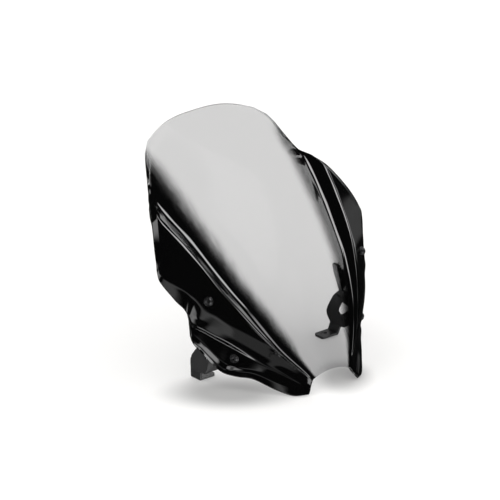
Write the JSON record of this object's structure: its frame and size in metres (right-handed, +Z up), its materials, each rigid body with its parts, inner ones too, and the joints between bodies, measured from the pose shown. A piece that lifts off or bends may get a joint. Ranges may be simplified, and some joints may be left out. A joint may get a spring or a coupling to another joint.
{
  "type": "motorcycle windshield screen",
  "caption": "Raked windshield screen with a bowed clear bubble, black moulded side wings and lower lobes, carried on bent steel brackets by rubber-isolated button screws.",
  "frame": {"origin": "midway between the mounting holes of the two bracket feet, on the feet's undersides", "axes": "+X across the screen to the rider's left when seen from the front, -Y forward along the motorcycle, +Z up"},
  "size_m": [0.3218, 0.2681, 0.2811],
  "materials": {
    "smoked_acrylic": "gloss acrylic, clear light smoke in the middle and black on the wings",
    "black_steel": "matte black powder coat",
    "screw_black": "black zinc, semi-gloss",
    "nylon_black": "matte black nylon",
    "rubber": "matte black rubber",
    "aluminium": "turned aluminium",
    "zinc_steel": "bright zinc plate"
  },
  "bodies": {
    "root": {"screen": "smoked_acrylic", "bracket_left": "black_steel", "bracket_right": "black_steel", "screw_upper_left": "screw_black", "screw_upper_right": "screw_black", "screw_lower_left": "screw_black", "screw_lower_right": "screw_black", "nylon_washer_upper_left": "nylon_black", "nylon_washer_upper_right": "nylon_black", "nylon_washer_lower_left": "nylon_black", "nylon_washer_lower_right": "nylon_black", "rubber_bush_upper_left": "rubber", "rubber_bush_upper_right": "rubber", "rubber_bush_lower_left": "rubber", "rubber_bush_lower_right": "rubber", "spacer_upper_left": "aluminium", "spacer_upper_right": "aluminium", "spacer_lower_left": "aluminium", "spacer_lower_right": "aluminium", "steel_washer_upper_left": "zinc_steel", "steel_washer_upper_right": "zinc_steel", "steel_washer_lower_left": "zinc_steel", "steel_washer_lower_right": "zinc_steel", "locknut_upper_left": "zinc_steel", "locknut_upper_right": "zinc_steel", "locknut_lower_left": "zinc_steel", "locknut_lower_right": "zinc_steel"}
  },
  "joints": []
}
